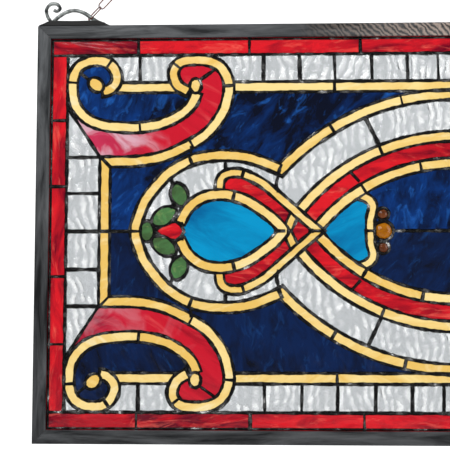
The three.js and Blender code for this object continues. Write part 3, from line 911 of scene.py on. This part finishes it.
# Hanging brackets: a flat hammered strip curled into a hook and sprung into an arch, both
# brazed to a blackened foot that is soldered along the top of the frame.
STRIP_HALF_DEPTH = 2.3
HOOK_HALF = 1.9
ARCH_HALF = 2.1
FOOT_DEPTH = 7.6
iron = bpy.data.materials.new("hammered iron")
iron.use_nodes = True
tree = iron.node_tree
shader = tree.nodes["Principled BSDF"]
shader.inputs["Metallic"].default_value = 0.85
shader.inputs["Roughness"].default_value = 0.42
place = tree.nodes.new("ShaderNodeTexCoord")
blotch = node(tree, "ShaderNodeTexNoise", Scale=140.0, Detail=3.0)
tree.links.new(place.outputs["Object"], blotch.inputs["Vector"])
tone = ramp(tree, blotch.outputs["Fac"], (0.35, (0.02, 0.022, 0.022)), (0.62, (0.3, 0.32, 0.31)))
split = tree.nodes.new("ShaderNodeSeparateXYZ")
tree.links.new(place.outputs["Object"], split.inputs[0])
frame_top_height = PANEL_CENTRE + TOP * MM
above_foot = node(
    tree, "ShaderNodeMapRange", From_Min=frame_top_height + 0.005, From_Max=frame_top_height + 0.0085
)
tree.links.new(split.outputs["Z"], above_foot.inputs["Value"])
sooty = node(tree, "ShaderNodeMix", data_type="RGBA")
sooty.inputs[6].default_value = (0.012, 0.012, 0.012, 1)
tree.links.new(above_foot.outputs["Result"], sooty.inputs["Factor"])
tree.links.new(tone.outputs["Color"], sooty.inputs[7])
tree.links.new(sooty.outputs[2], shader.inputs["Base Color"])
hook = spline(
    [(16.5, 3), (10.5, 10), (8.4, 19), (13, 25.3), (20, 25.3), (23.6, 20.8), (20.5, 17.3), (17, 18.6)], 0.9
)
arch = spline(
    [(14, 2.6), (20, 9), (29.5, 15.5), (39.5, 18), (49.5, 15.5), (58.3, 10), (66, 5), (74, 1.8)], 1.6
)
foot = spline([(1.2, 0.5), (6, 2.6), (14.3, 5.8), (22, 5.6)], 2)
foot += spline([(40, 5.2), (58, 5.6), (64, 6.4), (79, 0.5)], 2)
foot_outline = [Vector((1, 0.3))] + foot + [Vector((79.5, 0.3))]


def on_frame(line, across):
    """A line drawn from the frame's top left corner, set out for the left or the right side."""
    return [Vector(((point.x - MIDDLE) * across, point.y + TOP)) for point in line]


for side, across in (("left", 1), ("right", -1)):
    bracket = bmesh.new()
    swept(bracket, on_frame(hook, across), HOOK_HALF, STRIP_HALF_DEPTH, 0.07, 10)
    swept(bracket, on_frame(arch, across), ARCH_HALF, STRIP_HALF_DEPTH, 0.05, 10)
    plate = bmesh.new()
    verts = [
        plate.verts.new(Vector((point.x, -FOOT_DEPTH / 2, point.y)) * MM + Vector((0, 0, PANEL_CENTRE)))
        for point in on_frame(foot_outline, across)
    ]
    plate.faces.new(verts)
    thick = bmesh.ops.extrude_face_region(plate, geom=list(plate.faces))
    back = [item for item in thick["geom"] if isinstance(item, bmesh.types.BMVert)]
    bmesh.ops.translate(plate, vec=(0, FOOT_DEPTH * MM, 0), verts=back)
    bmesh.ops.recalc_face_normals(plate, faces=list(plate.faces))
    join(bracket, plate)
    holder = placed("bracket_iron_" + side, bracket, iron)
    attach(holder, "root")
    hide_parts("bracket_" + side)


# Chains: long links of brown wire, the first round the bracket's arch, and a ring on the last one.
# The wire is bent round a former and closed, and each link is turned a quarter to its neighbour.
bronze = bpy.data.materials.new("brown wire")
bronze.use_nodes = True
shader = bronze.node_tree.nodes["Principled BSDF"]
shader.inputs["Metallic"].default_value = 0.8
shader.inputs["Roughness"].default_value = 0.38
shader.inputs["Base Color"].default_value = (0.11, 0.03, 0.022, 1)
WIRE = 1.4
RING_REACH = 8.8
# Length, width, distance along the run and twist in degrees; the last is the end ring.
LINKS = ((21, 8.6, 6.0, 38), (21, 8.6, 24.2, 128), (17.4, 17.4, 0, 0))
for side, across in (("left", 1), ("right", -1)):
    wires = bmesh.new()
    low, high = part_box("chain_" + side)
    run = Vector((0.682 * across, 0, 0.7314))
    start = Vector(((58.3 - MIDDLE) * across, 0, 10.2 + TOP)) * MM + Vector((0, 0, PANEL_CENTRE))
    far_side = high[0] if across > 0 else low[0]
    ring_middle = Vector((far_side - across * RING_REACH * MM, 0, high[2] - RING_REACH * MM))
    for number, (length, width, along, twist) in enumerate(LINKS):
        link = bmesh.new()
        hoop = bmesh.ops.create_circle(link, cap_ends=False, radius=WIRE / 2 * MM, segments=8)["verts"]
        inner = (width - WIRE) / 2 * MM
        bmesh.ops.rotate(link, cent=(0, 0, 0), matrix=Matrix.Rotation(math.pi / 2, 3, "X"), verts=link.verts)
        bmesh.ops.translate(link, vec=(inner, 0, 0), verts=link.verts)
        bmesh.ops.spin(
            link, geom=list(link.verts) + list(link.edges), cent=(0, 0, 0), axis=(0, 0, 1), angle=2 * math.pi,
            steps=28, use_merge=True,
        )
        for vert in link.verts:
            vert.co.x += math.copysign((length - width) / 2 * MM, vert.co.x) if abs(vert.co.x) > 1e-6 else 0
        bmesh.ops.remove_doubles(link, verts=link.verts, dist=1e-6)
        bmesh.ops.recalc_face_normals(link, faces=list(link.faces))
        if number < 2:
            turn = Matrix.Rotation(math.radians(twist), 4, "X")
            lean = Matrix.Rotation(-math.atan2(run.z, run.x), 4, "Y")
            seat = Matrix.Translation(start + run * along * MM)
            bmesh.ops.transform(link, matrix=seat @ lean @ turn, verts=link.verts)
        else:
            upright = Matrix.Rotation(math.pi / 2, 4, "X")
            bmesh.ops.transform(link, matrix=Matrix.Translation(ring_middle) @ upright, verts=link.verts)
        for face in link.faces:
            face.smooth = True
        join(wires, link)
    chain = placed("chain_wire_" + side, wires, bronze)
    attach(chain, "root")
    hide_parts("chain_" + side)


# The stage: a pale sheet that runs from the floor up behind the panel, soft lights and the camera.
# Two softboxes light the face, and two more the backdrop, so that the clear glass looks bright.
paper = bpy.data.materials.new("pale paper")
paper.use_nodes = True
paper.node_tree.nodes["Principled BSDF"].inputs["Base Color"].default_value = (0.93, 0.93, 0.93, 1)
paper.node_tree.nodes["Principled BSDF"].inputs["Roughness"].default_value = 0.9
BACKDROP_HALF = 8
FLOOR = -0.75
CURL_START = 2.0
CURL_RADIUS = 1.0
sweep = bmesh.new()
verts = [
    sweep.verts.new((-BACKDROP_HALF, -BACKDROP_HALF, FLOOR)),
    sweep.verts.new((-BACKDROP_HALF, CURL_START, FLOOR)),
]
sweep.edges.new(verts)
curl = bmesh.ops.spin(
    sweep, geom=[verts[1]], cent=(-BACKDROP_HALF, CURL_START, FLOOR + CURL_RADIUS), axis=(1, 0, 0),
    angle=math.pi / 2, steps=16, use_merge=False,
)
tip = [item for item in curl["geom_last"] if isinstance(item, bmesh.types.BMVert)]
rise = bmesh.ops.extrude_vert_indiv(sweep, verts=tip)
bmesh.ops.translate(sweep, vec=(0, 0, 3.5), verts=rise["verts"])
wide = bmesh.ops.extrude_edge_only(sweep, edges=list(sweep.edges))
spread = [item for item in wide["geom"] if isinstance(item, bmesh.types.BMVert)]
bmesh.ops.translate(sweep, vec=(2 * BACKDROP_HALF, 0, 0), verts=spread)
for face in sweep.faces:
    face.smooth = True
backdrop = placed("backdrop", sweep, paper)
AT_PANEL = (0, 0, -0.27)
AT_BACKDROP = (0, 2.6, -0.2)
for name, stand, size, power, aim in (
    ("key softbox", (-1.1, -1.9, 1.3), 1.2, 42, AT_PANEL),
    ("fill softbox", (1.6, -1.6, 0.2), 1.2, 20, AT_PANEL),
    ("backdrop light left", (-1.6, 0.9, 0.9), 1.0, 34, AT_BACKDROP),
    ("backdrop light right", (1.6, 0.9, 0.9), 1.0, 34, AT_BACKDROP),
):
    lamp = bpy.data.lights.new(name, "AREA")
    lamp.energy = power
    lamp.size = size
    light = bpy.data.objects.new(name, lamp)
    light.location = stand
    light.rotation_euler = (Vector(aim) - light.location).to_track_quat("-Z", "Y").to_euler()
    bpy.context.collection.objects.link(light)
world = bpy.data.worlds.new("studio")
world.use_nodes = True
world.node_tree.nodes["Background"].inputs["Color"].default_value = (0.95, 0.97, 1.0, 1)
world.node_tree.nodes["Background"].inputs["Strength"].default_value = 0.3
bpy.context.scene.world = world

lens = bpy.data.cameras.new("camera")
lens.sensor_width = 36
lens.lens = 72
lens.clip_start = 0.01
camera = bpy.data.objects.new("camera", lens)
camera.location = (-0.2195, -0.9769, PANEL_CENTRE - 0.0654)
camera.rotation_euler = (math.radians(90 + 4.22), 0, math.radians(1.77))
bpy.context.collection.objects.link(camera)
scene = bpy.context.scene
scene.camera = camera
scene.render.resolution_x = 450
scene.render.resolution_y = 450
scene.view_settings.view_transform = "Standard"
